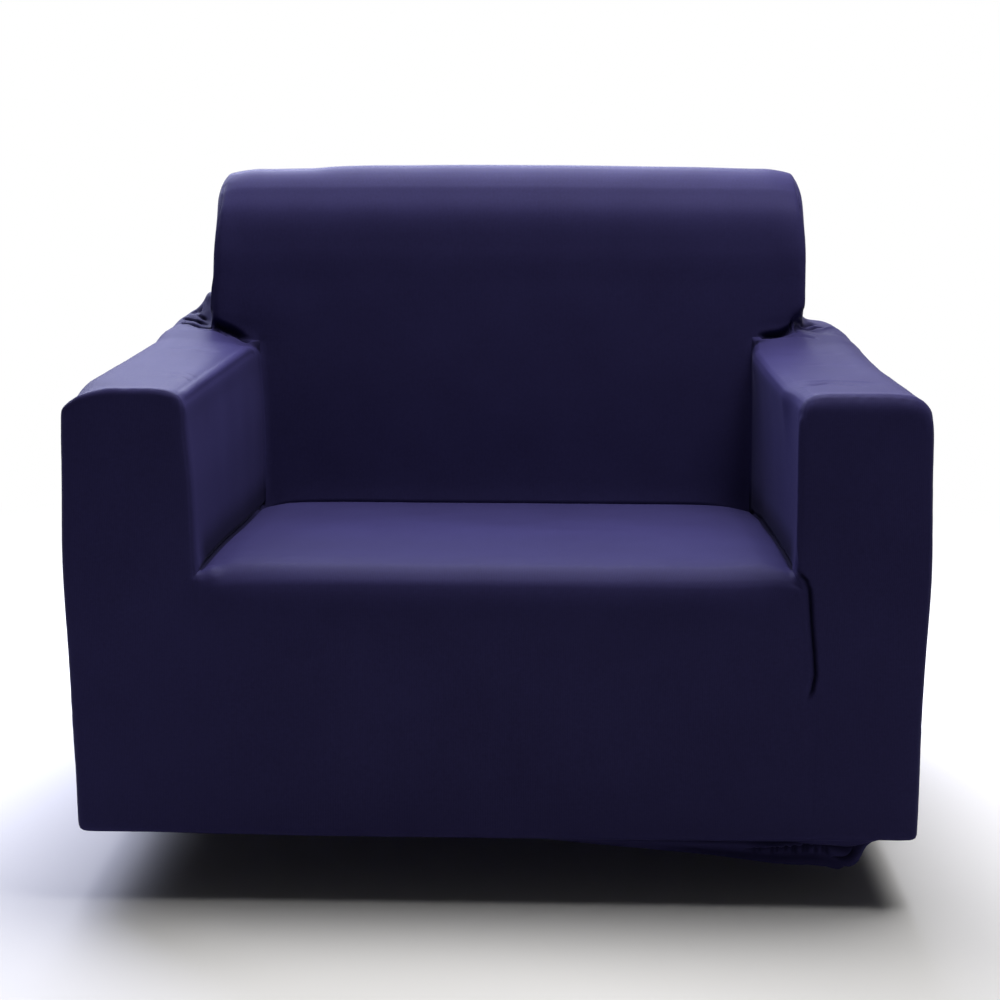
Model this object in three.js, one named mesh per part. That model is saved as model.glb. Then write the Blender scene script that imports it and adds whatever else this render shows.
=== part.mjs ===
// Slipcover for a one-seat armchair: nine sewn panels of stretch knit, drawn tight over the chair's
// form. The chair is left out, so the cover is hollow and open underneath. Sizes are in millimetres.
// Heights (z) are above the floor that the chair stands on, y = 0 is the plane of the arm fronts and
// x = 0 is the middle of the seat. The last lines move the origin to the top of the back.

import * as THREE from "three";

const { lerp, smoothstep } = THREE.MathUtils;

// ---- Driving sizes ----

const WIDTH = 968;
const DEPTH = 800;
const HEM_HEIGHT = 82;
const ARM_HEIGHT = 590;
const SEAT_WIDTH = 672;
const SEAT_FRONT_HEIGHT = 396;
const SEAT_REAR_HEIGHT = 377;
const BACK_WIDTH = 820;
const BACK_HEIGHT = 825;
const BACK_CROWN = 6;
const BACK_TAPER = 2;
const BACK_FACE_Y = 587;
const BACK_LEAN = 0.165;
const CLOTH = 2;
const SEAM_GAP = 0.3;
const EDGE_BEVEL = 0.25;
const UNDER_TURN = 38;

const OUTER = WIDTH / 2;
const INNER = SEAT_WIDTH / 2;
const BACK_SIDE = BACK_WIDTH / 2;

// ---- Roundings, as radii ----

const SEAT_FRONT_ROUND = 40;
const SIDE_EDGE_ROUND = 12;
const HEM_ROUND = 9;
const REAR_ROUND = 20;
const ROLL_FRONT = 95;
const ROLL_REAR = 75;
const BACK_EDGE_ROUND = 12;
const BACK_CORNER_ROUND = 30;
const SEAT_CORNER_ROUND = 70;
const VALLEY = 8;

// ---- Swellings and falls of the worn cover ----

const CUSHION_SWELL = 9;
const CUSHION_BOTTOM = 250;
const CUSHION_ENDS = { left: { from: -20, to: 130 }, right: { from: 0, to: 26 } };
const ARM_FRONT_SWELL = 3;
const ARM_FRONT_MIDDLE = { x: (INNER + OUTER) / 2, z: 480, halfWidth: 50, halfHeight: 130 };
const SIDE_BOWS = [{ z: 395, spread: 95, out: 4.5 }, { z: 165, spread: 70, out: -2 }];
const SEAT_FALL = 9;
const SEAT_FALL_BAND = 48;
const SEAT_UNDER_ARM = 50;
const INNER_RISE_SHARE = 0.35;
const RISE_TO_BACK = 6;
const RISE_TO_BACK_RUN = 67;

// The two arms of a worn cover are not alike: one has crisp edges and a wide web of cloth up to the
// back, the other softer edges and a small web. riseAt lists how far the arm top climbs towards the
// rear, and seamAt where the seam beside the apron runs, from the seat corner down.
const LEFT = {
  sign: -1,
  frontRound: 9,
  outerRound: 24,
  innerRound: 18,
  web: 100,
  riseAt: [
    { y: 0, rise: 0 }, { y: 150, rise: 4 }, { y: 300, rise: 6 }, { y: 470, rise: 9 },
    { y: 590, rise: 12 }, { y: 690, rise: 15 }, { y: 800, rise: 17 },
  ],
  seamAt: [{ z: 387, x: 336 }, { z: 83, x: 344 }],
};
const RIGHT = {
  sign: 1,
  frontRound: 20,
  outerRound: 28,
  innerRound: 20,
  web: 40,
  riseAt: [
    { y: 0, rise: 0 }, { y: 330, rise: -1 }, { y: 465, rise: 3 },
    { y: 590, rise: 12 }, { y: 680, rise: 17 }, { y: 800, rise: 15 },
  ],
  seamAt: [{ z: 387, x: 336 }, { z: 372, x: 350 }, { z: 262, x: 361 }, { z: 83, x: 361 }],
};
const sideOf = (x) => (x < 0 ? LEFT : RIGHT);

// Reads a table of rows at a value, with smooth steps between the rows.
function readTable(rows, key, value, at) {
  const order = Math.sign(rows[rows.length - 1][key] - rows[0][key]);
  let result = rows[0][value];
  for (let i = 1; i < rows.length; i += 1) {
    const before = rows[i - 1];
    const after = rows[i];
    const share = smoothstep(order * at, order * before[key], order * after[key]);
    result += (after[value] - before[value]) * share;
  }
  return result;
}

// ---- The form under the cloth, as one function that is zero on the cloth's outer face ----

// Joins two shapes with a soft valley, and cuts one by the other with a rounded edge.
function softJoin(a, b, width) {
  const share = Math.max(width - Math.abs(a - b), 0) / width;
  return Math.min(a, b) - (share * share * width) / 4;
}
function roundCut(a, b, radius) {
  const u = a + radius;
  const v = b + radius;
  return u > 0 && v > 0 ? Math.hypot(u, v) - radius : Math.max(a, b);
}
const bump = (value, middle, spread) => Math.exp(-(((value - middle) / spread) ** 2));

const backFaceY = (z) => BACK_FACE_Y + BACK_LEAN * (z - ARM_HEIGHT);
const armSideX = (z) =>
  SIDE_BOWS.reduce((x, bow) => x + bow.out * bump(z, bow.z, bow.spread), OUTER);

// The arm top climbs more at its outer edge, and along the back over its whole width.
function armTop(x, y) {
  const rise = readTable(sideOf(x).riseAt, "y", "rise", y);
  const outward = smoothstep(Math.abs(x), INNER, OUTER - sideOf(x).outerRound);
  const toBack = RISE_TO_BACK * smoothstep(y, BACK_FACE_Y - RISE_TO_BACK_RUN, BACK_FACE_Y);
  return ARM_HEIGHT + rise * lerp(INNER_RISE_SHARE, 1, outward) + toBack;
}

// The seat falls to the rear, to its two sides and into a pocket at each rounded rear corner.
function seatTop(x, y) {
  const rear = backFaceY(SEAT_REAR_HEIGHT);
  const outline = roundCut(Math.abs(x) - INNER, y - rear, SEAT_CORNER_ROUND);
  const fall = Math.max(outline + SEAT_FALL_BAND, 0) / SEAT_FALL_BAND;
  const level = lerp(SEAT_FRONT_HEIGHT, SEAT_REAR_HEIGHT, y / rear);
  return level - SEAT_FALL * fall * fall;
}

const seamX = (side, z) => readTable(side.seamAt, "z", "x", z);

// The cushion pushes the front of the cover forward, with a sharp end at the right arm.
function frontY(x, z) {
  const end = x < 0 ? CUSHION_ENDS.left : CUSHION_ENDS.right;
  const across = smoothstep(seamX(sideOf(x), z) - Math.abs(x), end.from, end.to);
  const below = smoothstep(z, CUSHION_BOTTOM - 25, CUSHION_BOTTOM + 25);
  const above = 1 - smoothstep(z, SEAT_FRONT_HEIGHT - 24, SEAT_FRONT_HEIGHT + 24);
  const middle = ARM_FRONT_MIDDLE;
  const onArm = bump(Math.abs(x), middle.x, middle.halfWidth) * bump(z, middle.z, middle.halfHeight);
  return -CUSHION_SWELL * across * below * above - ARM_FRONT_SWELL * onArm;
}

const backTop = (x) => BACK_HEIGHT + BACK_CROWN * (1 - (x / BACK_SIDE) ** 2);
const backSideX = (z) => BACK_SIDE - BACK_TAPER * smoothstep(z, BACK_HEIGHT - 80, BACK_HEIGHT);

// The web of cloth between arm and back: full behind the face of the back, beside it and above the
// arm, and faded out before each of these.
function webShare(ax, y, z) {
  const behind = smoothstep(y, BACK_FACE_Y, BACK_FACE_Y + 93);
  const beside = smoothstep(ax, BACK_SIDE - 18, BACK_SIDE + 15);
  const above = smoothstep(z, ARM_HEIGHT - 30, ARM_HEIGHT + 30);
  return behind * beside * above;
}

function chairForm(x, y, z) {
  const side = sideOf(x);
  const ax = Math.abs(x);
  const armOutside = roundCut(ax - armSideX(z), z - armTop(x, y), side.outerRound);
  const arm = roundCut(armOutside, INNER - ax, side.innerRound);
  const seat = Math.max(z - seatTop(x, y), ax - INNER - SEAT_UNDER_ARM);
  const backProfile = roundCut(backFaceY(z) - y, z - backTop(x), ROLL_FRONT);
  const toCorner = smoothstep(z, BACK_HEIGHT - 125, BACK_HEIGHT - 25);
  const cornerRound = lerp(BACK_EDGE_ROUND, BACK_CORNER_ROUND, toCorner);
  const back = roundCut(backProfile, ax - backSideX(z), cornerRound);
  return softJoin(softJoin(arm, seat, VALLEY), back, lerp(VALLEY, side.web, webShare(ax, y, z)));
}

function form(x, y, z) {
  const side = sideOf(x);
  const chair = chairForm(x, y, z);
  const belowArms = 1 - smoothstep(z, SEAT_FRONT_HEIGHT + 4, SEAT_FRONT_HEIGHT + 54);
  const onSeat = smoothstep(INNER - Math.abs(x), -4, 34) * belowArms;
  const downEdge = smoothstep(ARM_HEIGHT - z, SIDE_EDGE_ROUND, SEAT_FRONT_ROUND);
  const armRound = lerp(side.frontRound, SIDE_EDGE_ROUND, downEdge);
  const fronted = roundCut(chair, frontY(x, z) - y, lerp(armRound, SEAT_FRONT_ROUND, onSeat));
  const toRoll = smoothstep(z, BACK_HEIGHT - 185, BACK_HEIGHT - 85);
  const rearRound = lerp(REAR_ROUND, ROLL_REAR, toRoll);
  return roundCut(roundCut(fronted, y - DEPTH, rearRound), HEM_HEIGHT - z, HEM_ROUND);
}

function outwardAt(p, shape = form) {
  const h = 0.02;
  return new THREE.Vector3(
    shape(p.x + h, p.y, p.z) - shape(p.x - h, p.y, p.z),
    shape(p.x, p.y + h, p.z) - shape(p.x, p.y - h, p.z),
    shape(p.x, p.y, p.z + h) - shape(p.x, p.y, p.z - h),
  ).divideScalar(2 * h);
}

// Moves a point of the square-edged chair straight onto the rounded form, or, with a y given, onto
// another shape while it stays in its cross-section.
function settle(point, shape = form, keptY = null) {
  for (let pass = 0; pass < 25; pass += 1) {
    const slope = outwardAt(point, shape);
    if (keptY !== null) slope.y = 0;
    const step = shape(point.x, point.y, point.z) / slope.lengthSq();
    point.addScaledVector(slope, -step);
    if (Math.abs(step) < 1e-6) break;
  }
  return point;
}

// ---- Folds in the drawn cloth: ridges (height above 0) and troughs along short lines ----

const FOLD_FADE_IN = 0.3;
const FOLD_FADE_OUT = 0.2;
const FOLDS = [
  { from: [-472, 712, 608], to: [-404, 618, 618], width: 9, height: -5 },
  { from: [-476, 664, 603], to: [-400, 594, 602], width: 8, height: -4 },
  { from: [472, 676, 606], to: [414, 606, 614], width: 9, height: -4 },
  { from: [474, 630, 602], to: [410, 590, 604], width: 8, height: -3 },
];

// The turned-under hem hangs below the right front corner; sag is how far its free edge drops.
const SAG_REACH = 90;
const SAG_SPREAD = 12;
const HEM_SAG = [
  { x: -420, sag: 0 }, { x: -180, sag: 4 }, { x: 60, sag: 8 }, { x: 215, sag: 27 },
  { x: 360, sag: 41 }, { x: 408, sag: 44 }, { x: 426, sag: 0 },
];

function foldHeight(point) {
  let height = 0;
  for (const fold of FOLDS) {
    const start = new THREE.Vector3(...fold.from);
    const line = new THREE.Line3(start, new THREE.Vector3(...fold.to));
    const share = line.closestPointToPointParameter(point, true);
    const away = line.at(share, new THREE.Vector3()).distanceTo(point);
    const taper = smoothstep(share, 0, FOLD_FADE_IN) * (1 - smoothstep(share, 1 - FOLD_FADE_OUT, 1));
    height += fold.height * taper * bump(away, 0, fold.width);
  }
  return height;
}

function hemSag(point) {
  const turned = smoothstep(point.y, UNDER_TURN * UNDER[0] - 4, UNDER_TURN);
  const nearFront = 1 - smoothstep(point.y, SAG_REACH - 30, SAG_REACH);
  const low = 1 - smoothstep(point.z, HEM_HEIGHT, HEM_HEIGHT + SAG_SPREAD);
  return readTable(HEM_SAG, "x", "sag", point.x) * turned * nearFront * low;
}

// ---- Stations of the panels' grids, as shares from 0 to 1 unless named as x ----

const ALONG = [0, 0.01, 0.027, 0.06, 0.17, 0.36, 0.58, 0.78, 0.89, 0.945, 0.98, 1];
const BEHIND = [0, 0.05, 0.11, 0.18, 0.27, 0.38, 0.52, 0.7, 0.86, 0.95, 1];
const DOWN = [0, 0.03, 0.08, 0.18, 0.45, 0.85, 1];
const BELOW = [0, 0.02, 0.06, 0.13, 0.45, 0.955, 1];
const CLIMB = [0, 0.05, 0.14, 0.34, 0.6, 0.84, 1];
const UNDER = [10 / UNDER_TURN, 1];
const HALF_SEAT = [0, 0.4, 0.7, 0.88, 0.955, 0.985, 1];
const ARM_TOP_FRONT_X = [OUTER, 477, 462, 434, 404, 374, 352, 342, INNER];
const ARM_TOP_REAR_X = [OUTER, 476, 455, 427, BACK_SIDE, 397, 366, 343, INNER];
const BACK_CORNER = ARM_TOP_REAR_X.indexOf(BACK_SIDE);
const REAR_HALF = [0, 0.4 * INNER, 0.88 * INNER, 366, 397, BACK_SIDE].map((x) => x / BACK_SIDE);

const last = (list) => list.length - 1;
const mirrored = (half) => [...half.slice(1).reverse().map((share) => -share), ...half];

// ---- Lines of the square-edged chair that the panels share ----

const REAR_TOP_Y = backFaceY(ARM_HEIGHT);
const REAR_SEAT_Y = backFaceY(SEAT_REAR_HEIGHT - 12);
const CORNER_HEIGHT = seatTop(INNER, 0);

// The foot of the back between the arms: share 0 is at the arm tops and 1 is on the seat.
function backFoot(x, share) {
  const y = lerp(REAR_TOP_Y, REAR_SEAT_Y, share);
  const z = lerp(armTop(INNER * Math.sign(x || 1), y), seatTop(x, y), share);
  return { y, z };
}

// Height on the arm's front and side, by row: down to the seat corner, on to the hem, then under.
const SIDE_ROWS = last(DOWN) + last(BELOW) + UNDER.length;
function sideRow(row, x, y) {
  if (row <= last(DOWN)) return { z: lerp(armTop(x, y), CORNER_HEIGHT, DOWN[row]), turn: 0 };
  const below = row - last(DOWN);
  if (below <= last(BELOW)) return { z: lerp(CORNER_HEIGHT, HEM_HEIGHT, BELOW[below]), turn: 0 };
  return { z: HEM_HEIGHT, turn: UNDER_TURN * UNDER[below - last(BELOW) - 1] };
}

// Outline of the back seen from its side, with the roll as quarter turns: the face and the rear run
// up to the middle of their quarter turn, and the roof joins those two places.
const ROOF_SHARE = 0.55;
function onRoll(radius, z) {
  const rolled = Math.max(z - (BACK_HEIGHT - radius), 0);
  return radius - Math.sqrt(Math.max(radius ** 2 - rolled ** 2, 0));
}
const rollMiddle = (radius) => BACK_HEIGHT - radius * (1 - Math.SQRT1_2);
const rollHeight = (radius, share) => BACK_HEIGHT - radius * (1 - Math.cos((share * Math.PI) / 4));
const faceAt = (z) => ({ y: backFaceY(z) + onRoll(ROLL_FRONT, z), z });
const rearAt = (z) => ({ y: DEPTH - onRoll(ROLL_REAR, z), z });

function backFaceLine(base, share) {
  if (share === 0) return { y: REAR_TOP_Y, z: base };
  return faceAt(lerp(base, rollMiddle(ROLL_FRONT), share));
}
function backRoofLine(share) {
  if (share <= ROOF_SHARE) return faceAt(rollHeight(ROLL_FRONT, 1 - share / ROOF_SHARE));
  return rearAt(rollHeight(ROLL_REAR, (share - ROOF_SHARE) / (1 - ROOF_SHARE)));
}
const backRearLine = (base, share) => rearAt(lerp(base, rollMiddle(ROLL_REAR), share));

// The side of the back, filled in between its face, roof, rear and foot lines.
function backSide(side, behind, climb) {
  const x = side.sign * BACK_SIDE;
  const footY = lerp(REAR_TOP_Y, DEPTH, behind);
  const foot = { y: footY, z: armTop(x, footY) };
  const face = backFaceLine(armTop(x, REAR_TOP_Y), climb);
  const rear = backRearLine(armTop(x, DEPTH), climb);
  const roof = backRoofLine(behind);
  const corners = [
    { y: REAR_TOP_Y, z: armTop(x, REAR_TOP_Y) }, { y: DEPTH, z: armTop(x, DEPTH) },
    backRoofLine(0), backRoofLine(1),
  ];
  const fill = (axis) => lerp(face[axis], rear[axis], behind) + lerp(foot[axis], roof[axis], climb)
    - lerp(
      lerp(corners[0][axis], corners[1][axis], behind),
      lerp(corners[2][axis], corners[3][axis], behind),
      climb,
    );
  return [x, fill("y"), fill("z")];
}

// ---- A panel: a grid of points settled on the form, given thickness and closed round its rim ----

// place(column, row) gives a point of the square-edged chair, and keeps(column, row) says whether
// the panel has the cell that starts there.
function sewPanel(name, color, columns, rows, place, keeps = () => true) {
  const points = [];
  const indexOf = new Map();
  const addPoint = (column, row) => {
    const key = column * (rows + 1) + row;
    if (!indexOf.has(key)) {
      indexOf.set(key, points.length);
      points.push(settle(new THREE.Vector3(...place(column, row))));
    }
    return indexOf.get(key);
  };
  const cells = [];
  for (let column = 0; column < columns; column += 1) {
    for (let row = 0; row < rows; row += 1) {
      if (keeps(column, row)) {
        cells.push([
          addPoint(column, row), addPoint(column + 1, row),
          addPoint(column + 1, row + 1), addPoint(column, row + 1),
        ]);
      }
    }
  }
  const outward = points.map((point) => outwardAt(point).normalize());
  faceOutward(cells, points, outward);
  const rim = rimOf(cells);
  const inward = rimInwards(points, outward, rim);
  inward.forEach((direction, i) => points[i].addScaledVector(direction, SEAM_GAP / 2));
  points.forEach((point, i) => {
    point.addScaledVector(outward[i], foldHeight(point));
    point.z -= hemSag(point);
  });
  const inner = points.map((point, i) => point.clone().addScaledVector(outward[i], -CLOTH));
  inward.forEach((direction, i) => inner[i].addScaledVector(direction, EDGE_BEVEL));
  return closeMesh(name, color, points, inner, cells, rim);
}

function faceOutward(cells, points, outward) {
  let agreement = 0;
  for (const [a, b, c, d] of cells) {
    const across = points[c].clone().sub(points[a]);
    const other = points[d].clone().sub(points[b]);
    agreement += across.cross(other).dot(outward[a]);
  }
  if (agreement < 0) cells.forEach((cell) => cell.reverse());
}

// Edges that only one cell has, in the order in which that cell goes round.
function rimOf(cells) {
  const edges = new Map();
  for (const cell of cells) {
    cell.forEach((from, i) => edges.set(`${from},${cell[(i + 1) % 4]}`, [from, cell[(i + 1) % 4]]));
  }
  return [...edges.values()].filter(([from, to]) => !edges.has(`${to},${from}`));
}

// For each point of the rim, the way into the panel, squarely from both edges that meet there.
function rimInwards(points, outward, rim) {
  const inwards = new Map();
  for (const [from, to] of rim) {
    const edge = points[to].clone().sub(points[from]).normalize();
    for (const end of [from, to]) {
      const inward = outward[end].clone().cross(edge).normalize();
      inwards.set(end, [...(inwards.get(end) ?? []), inward]);
    }
  }
  inwards.forEach(([first, second], i) => {
    inwards.set(i, first.clone().add(second).divideScalar(1 + first.dot(second)));
  });
  return inwards;
}

function closeMesh(name, color, outer, inner, cells, rim) {
  const count = outer.length;
  const triangles = [];
  for (const [a, b, c, d] of cells) {
    triangles.push(a, b, c, a, c, d);
    triangles.push(a + count, c + count, b + count, a + count, d + count, c + count);
  }
  for (const [from, to] of rim) {
    triangles.push(to, from, from + count, to, from + count, to + count);
  }
  const geometry = new THREE.BufferGeometry();
  const coordinates = [...outer, ...inner].flatMap((point) => point.toArray());
  geometry.setAttribute("position", new THREE.Float32BufferAttribute(coordinates, 3));
  geometry.setIndex(triangles);
  geometry.computeVertexNormals();
  const material = new THREE.MeshStandardMaterial({ color, roughness: 0.85, metalness: 0 });
  const mesh = new THREE.Mesh(geometry, material);
  mesh.name = name;
  return mesh;
}

// ---- The panels ----

// Seat and apron in one length: from the foot of the back over the seat, down and under.
function seatPanel() {
  const across = mirrored(HALF_SEAT);
  const rows = last(ALONG) + last(BELOW) + UNDER.length;
  return sewPanel("seat_panel", 0x28264c, last(across), rows, (column, row) => {
    const share = across[column];
    if (row <= last(ALONG)) {
      const x = share * INNER;
      const y = REAR_SEAT_Y * ALONG[last(ALONG) - row];
      return [x, y, seatTop(x, y)];
    }
    const below = row - last(ALONG);
    const drop = below <= last(BELOW) ? BELOW[below] : 1;
    const turn = below <= last(BELOW) ? 0 : UNDER_TURN * UNDER[below - last(BELOW) - 1];
    const top = lerp(seatTop(share * INNER, 0), CORNER_HEIGHT, Math.min(3 * drop, 1));
    const z = lerp(top, HEM_HEIGHT, drop);
    return [share * seamX(sideOf(share), z), turn, z];
  });
}

// Inside of the back: between the arms, then the full width up and over the roll.
function insideBackPanel() {
  const seat = mirrored(HALF_SEAT).map((share) => share * INNER);
  const outside = ARM_TOP_REAR_X.slice(BACK_CORNER, -1);
  const stations = [...outside.map((x) => -x), ...seat, ...outside.toReversed()];
  const low = last(DOWN);
  const rows = low + last(CLIMB) + last(BEHIND);
  const place = (column, row) => {
    const x = stations[column];
    if (row < low) {
      const foot = backFoot(x, DOWN[low - row]);
      return [x, foot.y, foot.z];
    }
    const climb = row - low;
    if (climb <= last(CLIMB)) {
      const base = Math.abs(x) < INNER ? INNER * Math.sign(x || 1) : x;
      const line = backFaceLine(armTop(base, REAR_TOP_Y), CLIMB[climb]);
      return [x, line.y, line.z];
    }
    const roof = backRoofLine(BEHIND[climb - last(CLIMB)]);
    return [x, roof.y, roof.z];
  };
  const keeps = (column, row) =>
    row >= low || (column >= outside.length && column < last(stations) - outside.length);
  return sewPanel("inside_back_panel", 0x2b294f, last(stations), rows, place, keeps);
}

// Row of a side or rear panel above the arm top: in along the arm, then up the back.
const CROSS_ROWS = BACK_CORNER;
const WEB_ROWS = 3;
const WEB_RUN = 0.3;
const WIDEST_WEB = 140;
function aboveArm(side, row, behind) {
  const x = side.sign * ARM_TOP_REAR_X[Math.min(row, CROSS_ROWS)];
  const y = lerp(REAR_TOP_Y, DEPTH, behind);
  const square = row <= CROSS_ROWS
    ? [x, y, armTop(x, y)]
    : backSide(side, behind, CLIMB[row - CROSS_ROWS]);
  if (row > CROSS_ROWS + WEB_ROWS) return square;
  const start = new THREE.Vector3(...square);
  const foot = new THREE.Vector3(side.sign * OUTER, square[1], armTop(side.sign * OUTER, y));
  const head = new THREE.Vector3(...backSide(side, behind, CLIMB[WEB_ROWS]));
  const chord = foot.lerp(head.setY(square[1]), row / (CROSS_ROWS + WEB_ROWS));
  const webbed = smoothstep(behind, 0, WEB_RUN);
  const guess = start.clone().lerp(chord, (webbed * side.web) / WIDEST_WEB);
  const onWeb = settle(guess, chairForm, square[1]);
  return start.lerp(onWeb, webbed).toArray();
}

// Outside of an arm, running on over the arm top behind and up the side of the back.
function sidePanel(side, name) {
  const columns = last(ALONG) + last(BEHIND);
  const above = CROSS_ROWS + last(CLIMB);
  const place = (column, row) => {
    const behind = column > last(ALONG) ? BEHIND[column - last(ALONG)] : 0;
    if (row < above) return aboveArm(side, above - row, behind);
    const y = column <= last(ALONG) ? REAR_TOP_Y * ALONG[column] : lerp(REAR_TOP_Y, DEPTH, behind);
    const x = side.sign * OUTER;
    const { z, turn } = sideRow(row - above, x, y);
    return [x - side.sign * turn, turn + (y * (DEPTH - 2 * turn)) / DEPTH, z];
  };
  const keeps = (column, row) => row >= above || column >= last(ALONG);
  return sewPanel(name, 0x26244a, columns, above + SIDE_ROWS, place, keeps);
}

// Front of an arm, from the arm top to the hem and under.
function armFront(side, name) {
  return sewPanel(name, 0x2a284e, last(ARM_TOP_FRONT_X), SIDE_ROWS, (column, row) => {
    const topX = ARM_TOP_FRONT_X[column];
    const share = (OUTER - topX) / (OUTER - INNER);
    const { z, turn } = sideRow(row, side.sign * topX, 0);
    const x = lerp(OUTER - turn, seamX(side, z), share);
    return [side.sign * x, turn, z];
  });
}

// Top of an arm and its inner face, down to the seat.
function armPanel(side, name) {
  const top = last(ARM_TOP_FRONT_X);
  return sewPanel(name, 0x302e56, top + last(DOWN), last(ALONG), (column, row) => {
    const share = ALONG[row];
    if (column <= top) {
      const x = side.sign * lerp(ARM_TOP_FRONT_X[column], ARM_TOP_REAR_X[column], share);
      const y = REAR_TOP_Y * share;
      return [x, y, armTop(x, y)];
    }
    const down = DOWN[column - top];
    const x = side.sign * INNER;
    const y = lerp(REAR_TOP_Y, REAR_SEAT_Y, down) * share;
    return [x, y, lerp(armTop(x, y), seatTop(x, y), down)];
  });
}

// Rear of the cover, from the roll down to the hem, widening from the back to the arms.
function outsideBackPanel() {
  const across = mirrored(REAR_HALF);
  const above = CROSS_ROWS + last(CLIMB);
  const rows = above + SIDE_ROWS;
  const evenRows = rows - UNDER.length - 1;
  const topHeight = backRoofLine(1).z;
  return sewPanel("outside_back_panel", 0x242248, last(across), rows, (column, row) => {
    const share = across[column];
    const side = sideOf(share);
    const x = side.sign * OUTER;
    let edge;
    let turn = 0;
    if (row < above) {
      edge = aboveArm(side, above - row, 1);
    } else {
      const found = sideRow(row - above, x, DEPTH);
      turn = found.turn;
      edge = [x - side.sign * turn, DEPTH - turn, found.z];
    }
    const lowest = lerp(CORNER_HEIGHT, HEM_HEIGHT, BELOW[last(BELOW) - 1]);
    const even = row < evenRows ? lerp(topHeight, lowest, row / evenRows) : edge[2];
    const towardEdge = share ** 4;
    const z = lerp(even, edge[2], towardEdge);
    return [Math.abs(share) * edge[0], rearAt(z).y - turn, z];
  });
}

const apexY = lerp(backFaceY(BACK_HEIGHT) + ROLL_FRONT, DEPTH - ROLL_REAR, 0.5);

const cover = new THREE.Group();
cover.add(
  seatPanel(),
  insideBackPanel(),
  outsideBackPanel(),
  armPanel(LEFT, "arm_panel_left"),
  armPanel(RIGHT, "arm_panel_right"),
  armFront(LEFT, "arm_front_left"),
  armFront(RIGHT, "arm_front_right"),
  sidePanel(LEFT, "side_panel_left"),
  sidePanel(RIGHT, "side_panel_right"),
);
cover.position.set(0, -apexY, -(BACK_HEIGHT + BACK_CROWN - CLOTH));

export default cover;
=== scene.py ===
"""Looks of a stretch slipcover for an armchair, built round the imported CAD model.

Each CAD panel is a coarse grid of flat facets. Its outer layer is read back as a grid, drawn again
as a fine smooth one, given the worn cloth's folds and puckers, and closed to a sheet 2 mm thick.
Positions are in metres in the frame's own axes, and sizes on the cloth in millimetres.
"""
import math
from collections import deque

import bmesh
import bpy
import numpy as np
from mathutils import Euler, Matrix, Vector
from mathutils.kdtree import KDTree


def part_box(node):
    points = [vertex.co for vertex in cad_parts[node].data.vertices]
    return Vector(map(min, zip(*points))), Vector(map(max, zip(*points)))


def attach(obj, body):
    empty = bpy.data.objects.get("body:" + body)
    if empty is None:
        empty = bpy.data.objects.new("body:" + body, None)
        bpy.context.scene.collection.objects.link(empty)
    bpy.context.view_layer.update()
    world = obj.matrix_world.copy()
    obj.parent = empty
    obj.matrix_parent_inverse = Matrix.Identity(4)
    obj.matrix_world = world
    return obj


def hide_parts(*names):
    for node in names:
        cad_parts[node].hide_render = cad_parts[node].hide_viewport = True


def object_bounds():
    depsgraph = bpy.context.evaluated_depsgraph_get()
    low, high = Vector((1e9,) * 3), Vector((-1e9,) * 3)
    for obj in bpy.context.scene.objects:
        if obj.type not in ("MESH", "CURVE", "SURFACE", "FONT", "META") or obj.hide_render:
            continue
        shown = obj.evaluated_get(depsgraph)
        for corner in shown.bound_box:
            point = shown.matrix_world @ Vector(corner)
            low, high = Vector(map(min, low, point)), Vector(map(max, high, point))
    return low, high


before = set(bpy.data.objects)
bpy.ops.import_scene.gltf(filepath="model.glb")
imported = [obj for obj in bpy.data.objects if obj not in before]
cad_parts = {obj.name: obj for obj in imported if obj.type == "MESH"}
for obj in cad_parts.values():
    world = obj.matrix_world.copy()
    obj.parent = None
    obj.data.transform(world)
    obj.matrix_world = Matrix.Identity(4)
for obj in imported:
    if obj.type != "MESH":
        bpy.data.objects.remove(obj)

CAD_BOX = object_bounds()
MM = 0.001

# ---- Places on the cover, from the frame ----

HEM_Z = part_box("outside_back_panel")[0].z
LEG_HEIGHT = 82 * MM
FLOOR_Z = HEM_Z - LEG_HEIGHT
FRONT_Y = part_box("arm_front_left")[0].y + 3 * MM


def spot(x, y, z):
    """A place x mm from the middle, y mm behind the arm fronts and z mm above the floor."""
    return np.array([x * MM, FRONT_Y + y * MM, FLOOR_Z + z * MM])


def fade(value, start, end):
    """0 before start and 1 after end, with a smooth step between."""
    share = np.clip((value - start) / (end - start), 0, 1)
    return share * share * (3 - 2 * share)


# ---- A CAD panel, read back as the grid that it was sewn from ----

CLOTH = 2 * MM
WELD = 0.02 * MM
RIM_BEVEL = 0.25 * MM
RIM_CORNER = 0.06 * MM


def crosses_cloth(edge):
    """Whether the edge is as long as the ones at the rim that join the two layers."""
    return -WELD < edge.calc_length() - math.hypot(CLOTH, RIM_BEVEL) < RIM_CORNER


def joined_faces(first, seen):
    """The faces that can be reached from one face, without those that were seen before."""
    seen.add(first)
    layer = [first]
    for face in layer:
        beside = {other for edge in face.edges for other in edge.link_faces} - seen
        seen |= beside
        layer.extend(sorted(beside, key=lambda other: other.index))
    return layer


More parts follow.
